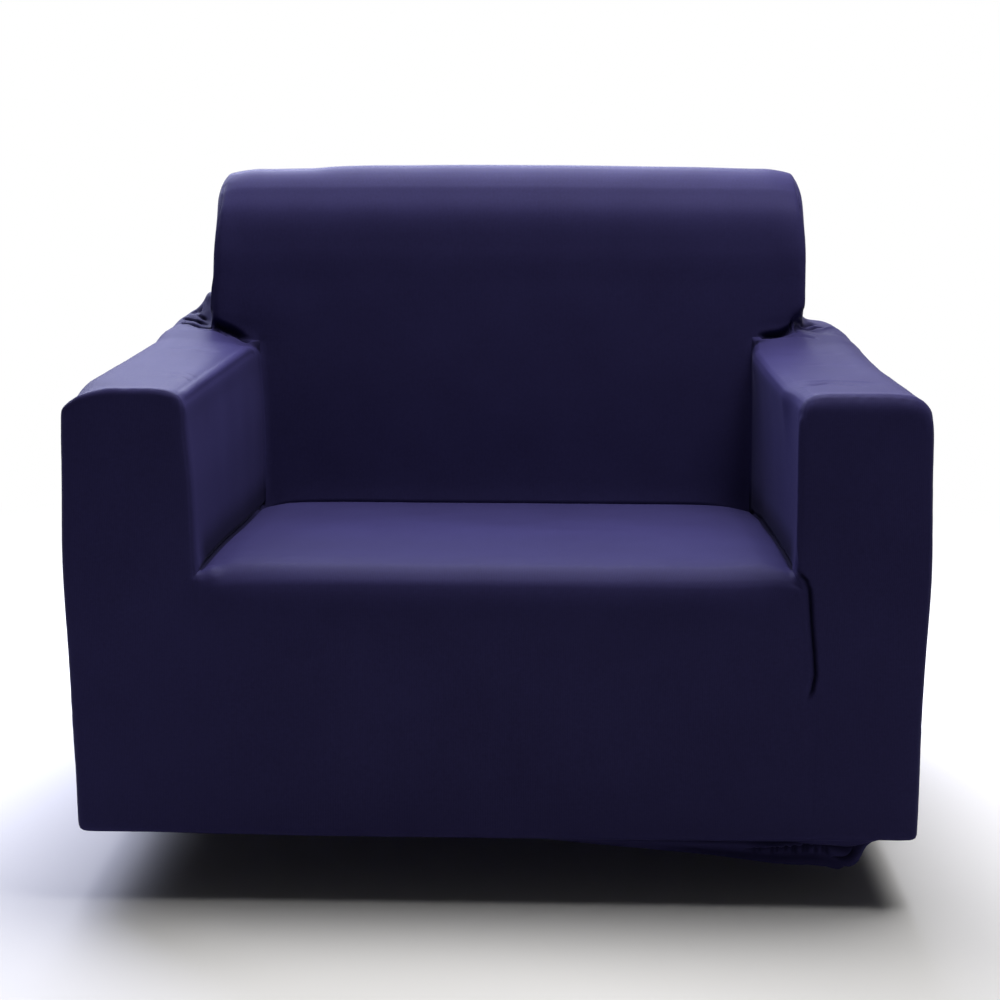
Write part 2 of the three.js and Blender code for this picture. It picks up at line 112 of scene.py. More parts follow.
def outer_layer(node):
    """Points and triangles of the panel's outer face: the layer that looks away from its middle."""
    mesh = bmesh.new()
    mesh.from_mesh(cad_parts[node].data)
    bmesh.ops.remove_doubles(mesh, verts=mesh.verts, dist=WELD)
    seen = {face for face in mesh.faces if any(crosses_cloth(edge) for edge in face.edges)}
    layers = [joined_faces(face, seen) for face in mesh.faces if face not in seen]
    middle = sum(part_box(node), Vector()) / 2

    def outwardness(face):
        return face.calc_area() * face.normal.dot(face.calc_center_median() - middle)

    outer = set(max(layers, key=lambda layer: sum(outwardness(face) for face in layer)))
    rim_edges = sum(1 for face in outer for edge in face.edges
                    if any(other not in outer for other in edge.link_faces))
    if 2 * len(outer) + 2 * rim_edges != len(mesh.faces):
        raise ValueError(f"{node}: its outer layer isn't whole")
    points = np.array([vertex.co for vertex in mesh.verts])
    triangles = sorted(tuple(vertex.index for vertex in face.verts) for face in outer)
    mesh.free()
    return points, triangles


def grid_cells(start, third):
    """Walks the triangles in pairs, cell by cell, from one cell (a, b, c, d) split along a to c."""
    cells = {(0, 0): start}
    queue = deque([(0, 0)])
    while queue:
        column, row = queue.popleft()
        a, b, c, d = cells[column, row]
        steps = (
            ((column + 1, row), (c, b), lambda k: (b, third.get((k, b)), k, c)),
            ((column - 1, row), (a, d), lambda k: (k, a, d, third.get((k, d)))),
            ((column, row + 1), (d, c), lambda k: (d, c, k, third.get((d, k)))),
            ((column, row - 1), (b, a), lambda k: (k, third.get((b, k)), b, a)),
        )
        for place, edge, make in steps:
            if place in cells or edge not in third:
                continue
            cells[place] = make(third[edge])
            queue.append(place)
    return cells


def panel_grid(node):
    """The outer layer as an array of points by column and row, with gaps as NaN."""
    points, triangles = outer_layer(node)
    third = {}
    for triangle in triangles:
        for i in range(3):
            third[triangle[i], triangle[(i + 1) % 3]] = triangle[(i + 2) % 3]

    def squareness(triangle):
        a, b, c = (points[i] for i in triangle)
        sides = sorted(np.linalg.norm(side) for side in (b - a, c - b, a - c))
        return abs(sides[2] ** 2 - sides[1] ** 2 - sides[0] ** 2) / (sides[0] * sides[1])

    for triangle in sorted(triangles, key=squareness):
        turns = [triangle[i:] + triangle[:i] for i in range(3)]
        a, b, c = max(turns, key=lambda turn: np.linalg.norm(points[turn[0]] - points[turn[2]]))
        if (a, c) not in third:
            continue
        cells = grid_cells((a, b, c, third[a, c]), third)
        if 2 * len(cells) == len(triangles) and all(None not in cell for cell in cells.values()):
            break
    else:
        raise ValueError(f"{node}: no grid found")
    low = np.min(list(cells), axis=0)
    size = np.max(list(cells), axis=0) - low + 2
    grid = np.full((*size, 3), np.nan)
    for place, (a, b, c, d) in cells.items():
        column, row = place - low
        grid[column, row] = points[a]
        grid[column + 1, row] = points[b]
        grid[column + 1, row + 1] = points[c]
        grid[column, row + 1] = points[d]
    return grid


SPACING = 6.8 * MM

# Where the folds are small: a place on the chair, how far round it the grid is drawn finer, and
# how close its lines are there, all in millimetres.
CREASED = (
    ((-436, 640, 612), 36, 1.5),
    ((-404, 594, 614), 16, 1.5),
    ((-412, 620, 650), 40, 3),
    ((418, 612, 611), 34, 1.6),
    ((400, 592, 616), 18, 1.6),
    ((352, 2, 370), 30, 2.2),
    ((335, 5, 388), 14, 2.2),
    ((-335, 5, 388), 26, 2.5),
    ((345, 14, 74), 18, 1.8),
    ((375, 16, 70), 18, 1.8),
    ((405, 20, 64), 18, 1.8),
    ((310, 18, 70), 16, 2.4),
    ((-395, 690, 805), 22, 3),
    ((345, 60, 588), 20, 2.6),
    ((343, 130, 588), 20, 2.6),
    ((343, 200, 588), 20, 2.6),
    ((343, 270, 588), 20, 2.6),
    ((-343, 2, 586), 16, 2.6),
    ((338, 6, 500), 8, 2.2),
)


def line_spacing(points):
    """How close the lines between two of the grid's lines are drawn."""
    spacings = [spacing * MM for place, reach, spacing in CREASED
                if np.nanmin(np.linalg.norm(points - spot(*place), axis=-1)) < reach * MM]
    return min(spacings, default=SPACING)


def refine(grid):
    """Draws smooth curves through the grid's columns of points, and adds lines between them."""
    step = np.diff(grid, axis=0)
    length = np.linalg.norm(step, axis=2, keepdims=True)
    slope = step / length
    tangent = np.full(grid.shape, np.nan)
    before, after = length[:-1], length[1:]
    tangent[1:-1] = (step[:-1] + step[1:]) / (before + after)
    for i in range(len(slope)):
        begins = np.isnan(tangent[i]) & ~np.isnan(slope[i])
        ahead = np.where(np.isnan(tangent[i + 1]), slope[i], tangent[i + 1])
        tangent[i] = np.where(begins, 2 * slope[i] - ahead, tangent[i])
        ends = np.isnan(tangent[i + 1]) & ~np.isnan(slope[i])
        tangent[i + 1] = np.where(ends, 2 * slope[i] - tangent[i], tangent[i + 1])
    lines = [grid[:1]]
    for i in range(len(step)):
        count = max(1, math.ceil(np.nanpercentile(length[i], 90) / line_spacing(grid[i:i + 2])))
        t = (np.arange(1, count) / count)[:, None, None]
        between = (
            (2 * t**3 - 3 * t**2 + 1) * grid[i]
            + (t**3 - 2 * t**2 + t) * length[i] * tangent[i]
            + (3 * t**2 - 2 * t**3) * grid[i + 1]
            + (t**3 - t**2) * length[i] * tangent[i + 1]
        )
        lines += [between, grid[i + 1:i + 2]]
    return np.concatenate(lines)


def fine_grid(grid):
    """The grid refined in both of its directions."""
    turned = refine(grid).transpose(1, 0, 2)
    return refine(turned).transpose(1, 0, 2)


def whole_cells(grid):
    """Index pairs of the cells that have all four corners, for the grid's flat list of points."""
    known = ~np.isnan(grid[..., 0])
    number = np.where(known, np.cumsum(known).reshape(known.shape) - 1, -1)
    a, b = number[:-1, :-1], number[1:, :-1]
    c, d = number[1:, 1:], number[:-1, 1:]
    cells = np.stack([a, b, c, d], axis=-1).reshape(-1, 4)
    return cells[(cells >= 0).all(axis=1)], known


def normals_of(points, cells):
    """The unit normal at each point, as the mean of those of the cells round it."""
    across = points[cells[:, 2]] - points[cells[:, 0]]
    other = points[cells[:, 3]] - points[cells[:, 1]]
    facing = np.cross(across, other)
    normals = np.zeros_like(points)
    for corner in range(4):
        np.add.at(normals, cells[:, corner], facing)
    return normals / np.linalg.norm(normals, axis=1, keepdims=True)


def rim_edges(cells):
    """Edges that one cell has alone, each in the order in which that cell goes round."""
    sides = [np.stack([cells[:, i], cells[:, (i + 1) % 4]], axis=1) for i in range(4)]
    edges = np.concatenate(sides)
    key = edges.min(axis=1) * (cells.max() + 1) + edges.max(axis=1)
    _, first, count = np.unique(key, return_index=True, return_counts=True)
    return edges[first[count == 1]]


# ---- Folds, pulls and seams of the worn cloth ----

# Each fold runs along a path over the cloth, in millimetres on the chair. Its height is above the
# cloth, so a trough's is below 0, its width is about half the width that it shows at, and it fades
# over that share of its length at each end. A fold may also paint shade into the cloth's colour
# along it, from 0, none, to 1, deepest; those with height 0 are painted shade alone. A fold with
# "on" stays on the panels that have that in their names.
FADE = 0.25
FOLDS = (
    # left: the cloth caught between the back and the arm
    {"path": ((-409, 594, 615), (-392, 589, 610), (-368, 585, 604), (-348, 578, 598)),
     "width": 5, "height": -9.5, "fade": 0.1, "painted_shade": 0.6},
    {"path": ((-466, 650, 610), (-433, 620, 608), (-403, 590, 607), (-375, 572, 602)),
     "width": 2.1, "height": -4.6, "fade": 0.12, "painted_shade": 0.8},
    {"path": ((-466, 666, 614), (-440, 640, 613), (-416, 612, 611)), "width": 1.9, "height": -4,
     "fade": 0.15, "painted_shade": 0.8},
    {"path": ((-458, 684, 621), (-431, 639, 618), (-410, 606, 615)), "width": 2, "height": -4,
     "fade": 0.15, "painted_shade": 0.8},
    {"path": ((-452, 676, 625), (-434, 652, 627)), "width": 5, "height": -4},
    {"path": ((-410, 603, 690), (-411, 606, 662), (-411, 604, 636), (-414, 617, 618)),
     "width": 3.4, "height": 2.6},
    {"path": ((-432, 690, 668), (-424, 640, 646), (-416, 622, 630)), "width": 5, "height": -4},
    # right: the back's lower corner, and the gathers fanning from it over the arm
    {"path": ((346, 585, 600), (375, 587, 604), (397, 592, 610), (404, 596, 618)),
     "width": 4.6, "height": -9, "fade": 0.12, "painted_shade": 0.6},
    {"path": ((396, 586, 610), (422, 649, 614), (440, 689, 613)), "width": 2.2, "height": -3.4,
     "painted_shade": 0.6},
    {"path": ((401, 588, 607), (431, 651, 611), (450, 664, 612)), "width": 2, "height": -3,
     "painted_shade": 0.6},
    {"path": ((398, 580, 605), (407, 591, 608), (430, 632, 608)), "width": 2, "height": -3,
     "painted_shade": 0.6},
    {"path": ((393, 574, 603), (408, 569, 603), (424, 553, 602)), "width": 3.2, "height": -2.4},
    {"path": ((352, 579, 600), (375, 577, 601), (397, 573, 603)), "width": 4.5, "height": -2.6},
    {"path": ((436, 640, 610), (456, 672, 612), (468, 700, 611)), "width": 3.0, "height": 1.8},
    # arms: a crisp inner edge on the left one, softer on the right, and slack on the tops
    {"path": ((-341.5, 6, 585), (-341.5, 100, 586), (-341.5, 300, 586), (-341.5, 500, 587),
              (-341, 560, 588)), "width": 5, "height": 2.5, "fade": 0.05},
    # painted shade at the rear inner corners of the arm tops, with no fold in the cloth
    {"path": ((-335, 576, 589), (-346, 586, 594)), "width": 14, "height": 0, "painted_shade": 0.75,
     "on": "arm_panel"},
    {"path": ((337, 570, 589), (346, 580, 594)), "width": 14, "height": 0, "painted_shade": 0.75,
     "on": "arm_panel"},
    {"path": ((340, 4, 582), (338, 128, 582), (337, 290, 583), (339, 420, 585)),
     "width": 5, "height": 1.2, "fade": 0.3},
    {"path": ((355, 112, 590), (386, 144, 590), (430, 112, 590)), "width": 5, "height": -1.6},
    {"path": ((352, 150, 591), (390, 172, 591), (448, 150, 590)), "width": 8, "height": 1.4},
    {"path": ((362, 330, 593), (410, 352, 594), (452, 338, 592)), "width": 9, "height": -1.0},
    {"path": ((360, 430, 596), (400, 452, 597), (446, 444, 596)), "width": 9, "height": -1.1},
    {"path": ((-396, 172, 592), (-368, 146, 592), (-342, 98, 588)), "width": 4, "height": 1.2},
    {"path": ((-392, 206, 592), (-366, 176, 592), (-342, 138, 588)), "width": 3.4, "height": 0.9},
    {"path": ((-440, 420, 597), (-405, 436, 598), (-362, 410, 596)), "width": 10, "height": -1.1},
    # seat: sunk where it meets the arms and the back, its corner hanging over the right arm
    # the creases where the seat meets the arms get painted shade as well as their troughs
    {"path": ((334, 8, 388), (334, 100, 386), (334, 200, 382.5), (334, 300, 379), (334, 400, 375.5),
              (334, 580, 367)), "width": 2.6, "height": -4, "fade": 0.04, "painted_shade": 0.9},
    {"path": ((-334, 8, 388), (-334, 100, 386), (-334, 200, 382.5), (-334, 300, 379),
              (-334, 400, 375.5), (-334, 580, 367)), "width": 2.6, "height": -4, "fade": 0.04,
     "painted_shade": 0.9},
    # painted shade along the foot of the inner arms, with no fold in the cloth
    {"path": ((337, 20, 396), (337, 200, 391), (337, 600, 378)), "width": 24, "height": 0,
     "fade": 0.1, "painted_shade": 0.7, "on": "arm_panel"},
    {"path": ((-337, 20, 396), (-337, 200, 391), (-337, 600, 378)), "width": 24, "height": 0,
     "fade": 0.1, "painted_shade": 0.7, "on": "arm_panel"},
    {"path": ((336, 8, 397), (341, 2, 391), (347, 1, 385), (351, 0, 374), (354.5, 0, 337),
              (358.5, 0, 303), (360.5, 0, 278), (358, 0, 260), (352, 0, 247)),
     "width": 2.3, "height": -5, "fade": 0.1, "painted_shade": 0.8},
    {"path": ((332, 40, 389), (339, 3, 386), (344.5, -2, 374), (347, -2, 337), (351, -2, 303),
              (353, -2, 274), (349, -2, 256)), "width": 5, "height": 3.2, "fade": 0.12},
    {"path": ((-328, 34, 392), (-318, 5, 386), (-306, 2, 380)), "width": 9, "height": 1.8},
    {"path": ((338, 9, 572), (337, 7, 496), (337.5, 6, 430), (341, 3, 398)),
     "width": 3, "height": 2.0, "fade": 0.06},
    # hem at the right, where the cloth is caught up behind the leg and sags
    {"path": ((60, 15, 78), (140, 15, 77), (222, 15, 76), (340, 15, 76), (388, 16, 76)),
     "width": 3, "height": -7, "fade": 0.1, "painted_shade": 0.95},
    {"path": ((284, 27, 63), (346, 22, 67), (375, 19, 70), (436, 16, 74)), "width": 3.2,
     "height": -7, "fade": 0.1, "painted_shade": 0.95},
    {"path": ((284, 19, 71), (346, 14, 75), (375, 11, 78), (436, 10, 81)), "width": 3,
     "height": 3.5, "fade": 0.15},
    # painted shade over the strip that sags behind the hem's lip
    {"path": ((180, 26, 62), (300, 34, 55), (346, 31, 53), (410, 29, 53)), "width": 9,
     "height": -1, "fade": 0.2, "painted_shade": 0.55},
    {"path": ((384, 28, 55), (400, 22, 63), (419, 16, 73)), "width": 2.4, "height": -5,
     "painted_shade": 0.9},
    {"path": ((394, 28, 52), (410, 22, 60), (424, 16, 70)), "width": 5, "height": 2.5},
)

# Small gathers side by side: their feet lie along a path, each reaches some way from it, and their
# places, widths and heights are uneven. Some also paint shade into the cloth's colour in their
# troughs.
GATHERS = (
    {"path": ((296, 21, 71), (386, 16, 73)), "reach": (1, 10, -19), "count": 13, "width": 2.3,
     "height": -3.2, "seed": 1, "painted_shade": 0.7},
    {"path": ((341, 22, 590), (339, 285, 590)), "reach": (15, -9, 0), "count": 19, "width": 2.6,
     "height": -1.0, "seed": 2},
    {"path": ((407, 662, 792), (408, 612, 715)), "reach": (-18, -2, -3), "count": 8, "width": 3.0,
     "height": -1.0, "seed": 3},
    {"path": ((-407, 655, 792), (-392, 712, 822)), "reach": (20, -10, 0), "count": 6, "width": 3.0,
     "height": -1.1, "seed": 4},
    {"path": ((408, 606, 640), (404, 596, 612)), "reach": (14, 40, 0), "count": 4, "width": 2.4,
     "height": -1.4, "seed": 5},
)

# Where the cloth as a whole lies off the CAD's line: a path, how far round it, and the move.
PULLS = (
    {"path": ((409, 598, 611), (408, 597, 614)), "reach": 17, "move": (-14, 4, 5)},
    {"path": ((-432, 690, 648), (-430, 680, 650)), "reach": 26, "move": (-5, 0, 2)},
    {"path": ((-414, 652, 664), (-414, 652, 676)), "reach": 24, "move": (-5, 0, 0)},
    {"path": ((-400, 715, 790), (-400, 700, 770)), "reach": 36, "move": (-5, 0, 1)},
    {"path": ((-390, 715, 829), (-290, 715, 829)), "reach": 30, "move": (0, 0, -3)},
    {"path": ((-474, 20, 590), (-474, 60, 590)), "reach": 32, "move": (2, 0, -4)},
    {"path": ((-478, 10, 130), (-478, 10, 90)), "reach": 60, "move": (3, 0, 0)},
    {"path": ((-343, 0, 592), (-343, 560, 592)), "reach": 85, "move": (-8.5, 0, 0)},
    {"path": ((341, 150, 588), (341, 500, 592)), "reach": 48, "move": (-6.5, 0, -1)},
    {"path": ((375, 6, 590), (430, 6, 588)), "reach": 30, "move": (0, 3, 3.5)},
    {"path": ((-424, 6, 590), (-378, 6, 590)), "reach": 30, "move": (0, 1, 6)},
    {"path": ((-476, 4, 586), (-476, 40, 586)), "reach": 14, "move": (0, 0, -2)},
    {"path": ((-340, 578, 594), (-352, 560, 592)), "reach": 32, "move": (0, 0, -9)},
    {"path": ((474, 760, 606), (474, 590, 600)), "reach": 45, "move": (-1, 0, -8)},
    {"path": ((-200, 180, 389), (200, 180, 389)), "reach": 120, "move": (0, 0, 10)},
    {"path": ((-320, 8, 389), (322, 8, 389)), "reach": 38, "move": (0, 1, -2)},
    {"path": ((328, 40, 388), (328, 390, 376)), "reach": 50, "move": (1, 0, 5)},
    {"path": ((336, 600, 366), (334, 560, 368)), "reach": 34, "move": (0, 0, -11)},
    {"path": ((-150, 0, 82), (150, 0, 82)), "reach": 220, "move": (0, 0, -3)},
    {"path": ((412, 24, 58), (405, 24, 58)), "reach": 17, "move": (6, 0, -11)},
)


# The seat's front roll is rounder than the CAD's: its path, how far round it the cloth is rounded,
# and how many times.
ROLL = {"path": ((-256, 0, 370), (260, 0, 370)), "reach": 36, "passes": 110}


def gathered():
    """The small gathers, as folds."""
    folds = []
    for row in GATHERS:
        random = np.random.default_rng(row["seed"])
        start, end = np.array(row["path"][0]), np.array(row["path"][-1])
        for i in range(row["count"]):
            share = (i + 0.5 + random.uniform(-0.35, 0.35)) / row["count"]
            foot = start + share * (end - start)
            tip = foot + np.array(row["reach"]) * random.uniform(0.6, 1.1)
            folds.append({
                "path": (foot - 0.3 * (tip - foot), tip),
                "width": row["width"] * random.uniform(0.8, 1.3),
                "height": row["height"] * random.uniform(0.5, 1.2),
                "painted_shade": row.get("painted_shade", 0),
            })
    return folds


def bell(away, reach):
    """1 on the spot, falling off softly over that reach in millimetres."""
    return np.exp(-((away / (reach * MM)) ** 2))


def beside_path(points, path):
    """How far each point is from the path, and its share of the way along it."""
    places = np.array([spot(*place) for place in path])
    lengths = np.linalg.norm(np.diff(places, axis=0), axis=1)
    away = np.full(len(points), np.inf)
    share = np.zeros(len(points))
    done = 0
    for start, end, length in zip(places, places[1:], lengths):
        line = end - start
        t = np.clip((points - start) @ line / length**2, 0, 1)
        distance = np.linalg.norm(points - start - t[:, None] * line, axis=1)
        share = np.where(distance < away, (done + t * length) / lengths.sum(), share)
        away = np.minimum(away, distance)
        done += length
    return away, share


def fold_heights(points, name):
    """The height of the folds at each point of a panel, and how much shade is painted into its
    colour there.
    """
    heights = np.zeros(len(points))
    painted_shade = np.zeros(len(points))
    for fold in (*FOLDS, *gathered()):
        if fold.get("on", "") not in name:
            continue
        away, share = beside_path(points, fold["path"])
        end = fold.get("fade", FADE)
        taper = fade(share, 0, end) * fade(share, 1, 1 - end)
        shape = taper * bell(away, fold["width"])
        heights += fold["height"] * MM * shape
        # painted shade: the deepest that any fold paints into the colour at the point
        painted_shade = np.maximum(painted_shade, fold.get("painted_shade", 0) * shape)
    return heights, painted_shade


def pulled(points):
    """The points moved by all the pulls."""
    moved = points.copy()
    for pull in PULLS:
        away, _ = beside_path(points, pull["path"])
        moved += bell(away, pull["reach"])[:, None] * np.array(pull["move"]) * MM
    return moved


def waves(points, length, seed, count=14):
    """Soft random swell of about that wavelength in millimetres, between about -1 and 1."""
    random = np.random.default_rng(seed)
    ways = random.normal(size=(count, 3))
    ways *= (2 * np.pi / (length * MM) * random.uniform(0.7, 1.4, (count, 1))
             / np.linalg.norm(ways, axis=1, keepdims=True))
    phases = random.uniform(0, 2 * np.pi, count)
    return np.cos(points @ ways.T + phases).sum(axis=1) / math.sqrt(2 * count)


# In millimetres: a seam's groove, the puckers beside it, and the slow swell of the whole cloth.
GROOVE = {"height": -0.2, "reach": 2}
PUCKERS = {"height": 0.22, "length": 15, "reach": 9, "seed": 5}
SWELL = {"height": 0.25, "length": 120, "seed": 3}


def seam_heights(points, away):
    """The groove of a seam, and the puckers that its thread pulls."""
    groove = GROOVE["height"] * bell(away, GROOVE["reach"])
    swing = waves(points, PUCKERS["length"], PUCKERS["seed"])
    pucker = PUCKERS["height"] * swing * bell(away, PUCKERS["reach"])
    return (groove + pucker) * MM


# ---- Sheets ----

LEAST_ROUNDED = 0.01


def with_round_roll(grid):
    """The seat's grid with its roll rounded: points are drawn to the line between their neighbours.

    Each pass does this along the grid's columns and then, on the turned grid, along its rows.
    """
    away, _ = beside_path(grid.reshape(-1, 3), ROLL["path"])
    near = bell(away, ROLL["reach"]).reshape(grid.shape[:2])
    near = np.where(near > LEAST_ROUNDED, near, 0)
    for _ in range(2 * ROLL["passes"]):
        low = np.linalg.norm(grid[1:-1] - grid[:-2], axis=2, keepdims=True)
        high = np.linalg.norm(grid[2:] - grid[1:-1], axis=2, keepdims=True)
        aim = (grid[:-2] * high + grid[2:] * low) / (low + high)
        move = near[1:-1, :, None] * (aim - grid[1:-1]) / 2
        grid[1:-1] += np.where(np.isnan(move), 0, move)
        grid, near = grid.transpose(1, 0, 2), near.T
    return grid


def shape_sheet(name):
    """The fine points, cells and grain of a panel, before its folds."""
    grid = fine_grid(panel_grid(name))
    if name == "seat_panel":
        grid = with_round_roll(grid)
    cells, known = whole_cells(grid)
    across = np.nanmean(np.linalg.norm(np.diff(grid, axis=0), axis=2), axis=1)
    along = np.nanmean(np.linalg.norm(np.diff(grid, axis=1), axis=2), axis=0)
    u = np.concatenate([[0], np.cumsum(across)])
    v = np.concatenate([[0], np.cumsum(along)])
    grain = np.stack(np.meshgrid(u, v, indexing="ij"), axis=-1)[known]
    return {"flat": grid[known], "cells": cells, "grain": grain, "rim": rim_edges(cells)}


SEAM_REACH = 1.5 * MM


def places_tree(places):
    """A tree that finds the nearest of the places."""
    tree = KDTree(len(places))
    for index, place in enumerate(places):
        tree.insert(place, index)
    tree.balance()
    return tree


def distances(sheet, tree):
    """How far each point of the sheet is from the nearest of the tree's places."""
    return np.array([tree.find(place)[2] for place in sheet["flat"]])


def seam_partners(sheets):
    """For each sheet, the rim points that are sewn.

    Each is given as the point, the other sheet, that sheet's rim edge and the share along it.
    """
    edges = [(name, *edge) for name, sheet in sheets.items() for edge in sheet["rim"]]
    tree = places_tree([(sheets[name]["flat"][start] + sheets[name]["flat"][end]) / 2
                        for name, start, end in edges])
    partners = {}
    for name, sheet in sheets.items():
        found = {}
        for point in np.unique(sheet["rim"]):
            place = sheet["flat"][point]
            for _, index, _ in tree.find_range(place, SEAM_REACH + SPACING):
                other, start, end = edges[index]
                if other == name:
                    continue
                low, high = sheets[other]["flat"][start], sheets[other]["flat"][end]
                line = high - low
                share = np.clip((place - low) @ line / (line @ line), 0, 1)
                away = np.linalg.norm(place - low - share * line)
                if away < min(SEAM_REACH, found.get((point, other), (math.inf,))[0]):
                    found[point, other] = (away, start, end, share)
        partners[name] = [(point, other, *match[1:]) for (point, other), match in found.items()]
    return partners


def seam_distances(sheets, partners):
    """For each sheet, how far each point is from the nearest seam."""
    tree = places_tree([sheets[name]["flat"][match[0]]
                        for name, matches in partners.items() for match in matches])
    return {name: distances(sheet, tree) for name, sheet in sheets.items()}


def measure_hem(sheets, partners):
    """Gives each sheet how far in millimetres its points are from the free edge of the cover."""
    free = []
    for name, sheet in sheets.items():
        sewn = {match[0] for match in partners[name]}
        free += [sheet["flat"][point] for point in np.unique(sheet["rim"]) if point not in sewn]
    tree = places_tree(free)
    for sheet in sheets.values():
        sheet["hem"] = distances(sheet, tree) / MM


def sew(sheets, partners, key):
    """Gives the points on a seam the mean of what both of its sides have there."""
    sewn = {}
    for name, matches in partners.items():
        total = sheets[name][key].copy()
        count = np.ones((len(total), 1))
        for point, other, start, end, share in matches:
            values = sheets[other][key]
            total[point] += (1 - share) * values[start] + share * values[end]
            count[point] += 1
        sewn[name] = total / count
    for name, values in sewn.items():
        sheets[name][key] = values


LEAST_LEAN = 0.5


def wear(sheets):
    """Gives the sheets their folds, and closes the seams between them."""
    partners = seam_partners(sheets)
    away = seam_distances(sheets, partners)
    measure_hem(sheets, partners)
    for name, sheet in sheets.items():
        flat = sheet["flat"]
        # the folds also give the shade painted into the cloth's colour at each point
        height, sheet["painted_shade"] = fold_heights(flat, name)
        height += seam_heights(flat, away[name])
        height += SWELL["height"] * MM * waves(flat, SWELL["length"], SWELL["seed"])
        sheet["points"] = pulled(flat + height[:, None] * normals_of(flat, sheet["cells"]))
    sew(sheets, partners, "points")
    for sheet in sheets.values():
        sheet["own"] = normals_of(sheet["points"], sheet["cells"])
        sheet["normals"] = sheet["own"].copy()
    sew(sheets, partners, "normals")
    for sheet in sheets.values():
        mean = sheet["normals"] / np.linalg.norm(sheet["normals"], axis=1, keepdims=True)
        lean = np.clip((mean * sheet["own"]).sum(axis=1, keepdims=True), LEAST_LEAN, 1)
        sheet["inner"] = sheet["points"] - CLOTH * mean / lean


SHARP_ANGLE = math.radians(55)


def sheet_object(name, sheet):
    """A closed sheet: the outer points, the inner ones, and a band of faces round the rim."""
    cells = sheet["cells"]
    count = len(sheet["points"])
    start, end = sheet["rim"].T
    band = np.stack([end, start, start + count, end + count], axis=1)
    faces = np.concatenate([cells, cells[:, ::-1] + count, band])
    mesh = bpy.data.meshes.new(name)
    mesh.from_pydata(np.concatenate([sheet["points"], sheet["inner"]]), [], faces.tolist())
    mesh.shade_smooth()
    mesh.set_sharp_from_angle(angle=SHARP_ANGLE)
    grain = mesh.attributes.new("grain", "FLOAT_VECTOR", "POINT")
    flat = np.concatenate([sheet["grain"], np.zeros((count, 1))], axis=1)
    grain.data.foreach_set("vector", np.concatenate([flat, flat]).ravel())
    # the painted shade and the distance from the free edge go on the points for the material
    for key in ("painted_shade", "hem"):
        values = mesh.attributes.new(key, "FLOAT", "POINT")
        values.data.foreach_set("value", np.concatenate([sheet[key], sheet[key]]))
    piece = bpy.data.objects.new(name, mesh)
    bpy.context.scene.collection.objects.link(piece)
    return piece


# ---- Cloth ----

def node(tree, kind, place=(0, 0), **sockets):
    """A new node, with values for its input sockets."""
    made = tree.nodes.new(kind)
    made.location = place
    for name, value in sockets.items():
        made.inputs[name.replace("_", " ")].default_value = value
    return made


def attribute_node(tree, name, place):
    made = node(tree, "ShaderNodeAttribute", place)
    made.attribute_name = name
    return made


def grain_parts(tree, grain, place):
    """The two places along the cloth, as the X and Y sockets of a node."""
    parts = node(tree, "ShaderNodeSeparateXYZ", place)
    tree.links.new(grain.outputs["Vector"], parts.inputs[0])
    return parts


def math_node(tree, operation, place, *inputs):
    """A Math node fed by sockets or plain numbers."""
    made = tree.nodes.new("ShaderNodeMath")
    made.operation = operation
    made.location = place
    for socket, value in zip(made.inputs, inputs):
        if isinstance(value, (int, float)):
            socket.default_value = value
        else:
            tree.links.new(value, socket)
    return made.outputs[0]


# The knit's ribs and rows, and how far they wander, in radians of a rib.
WALE = 1.9 * MM
COURSE = 1.5 * MM
WANDER = 3.0
RIB_HEIGHT = 0.30
ROW_HEIGHT = 0.18


def knit_loops(tree):
    """Height of the knit's loops, from 0 to 1: fine ribs along the panel, notched across."""
    grain = attribute_node(tree, "grain", (-1700, -500))
    drift = node(tree, "ShaderNodeTexNoise", (-1700, -800), Scale=60.0, Detail=1.0)
    tree.links.new(grain.outputs["Vector"], drift.inputs["Vector"])
    parts = grain_parts(tree, grain, (-1500, -500))
    wander = math_node(tree, "MULTIPLY", (-1500, -800), drift.outputs["Fac"], WANDER)
    ribs = math_node(tree, "MULTIPLY_ADD", (-1300, -450), parts.outputs["X"],
                     2 * math.pi / WALE, wander)
    notches = math_node(tree, "MULTIPLY_ADD", (-1300, -650), parts.outputs["Y"],
                        2 * math.pi / COURSE, wander)
    across = math_node(tree, "SINE", (-1100, -450), ribs)
    along = math_node(tree, "SINE", (-1100, -650), notches)
    loops = math_node(tree, "MULTIPLY_ADD", (-900, -550), across, RIB_HEIGHT, 0.5)
    return math_node(tree, "MULTIPLY_ADD", (-700, -550), along, ROW_HEIGHT, loops)


# Each row of hem stitches by its distance from the free edge in millimetres, half the thread's
# width, and the length of a stitch with its gap. A stitch shows where the beat is above its start.
HEM_ROWS = (15, 18)
HALF_THREAD = 0.45
STITCH = 3 * MM
STITCH_START = -0.5


def hem_stitches(tree):
    """Two rows of stitches beside the cover's free edge, as a height from 0 to 1."""
    hem = attribute_node(tree, "hem", (-1700, -1100))
    grain = attribute_node(tree, "grain", (-1700, -1300))
    parts = grain_parts(tree, grain, (-1500, -1300))
    both = math_node(tree, "ADD", (-1300, -1300), parts.outputs["X"], parts.outputs["Y"])
    turn = math_node(tree, "MULTIPLY", (-1100, -1300), both, 2 * math.pi / STITCH)
    beat = math_node(tree, "SINE", (-900, -1300), turn)
    dash = math_node(tree, "GREATER_THAN", (-700, -1300), beat, STITCH_START)
    rows = []
    for row, distance in enumerate(HEM_ROWS):
        level = math_node(tree, "SUBTRACT", (-1300, -900 - 150 * row), hem.outputs["Fac"], distance)
        rows.append(math_node(tree, "COMPARE", (-1100, -900 - 150 * row), level, 0.0, HALF_THREAD))
    line = math_node(tree, "MAXIMUM", (-900, -950), *rows)
    return math_node(tree, "MULTIPLY", (-500, -1100), line, dash)


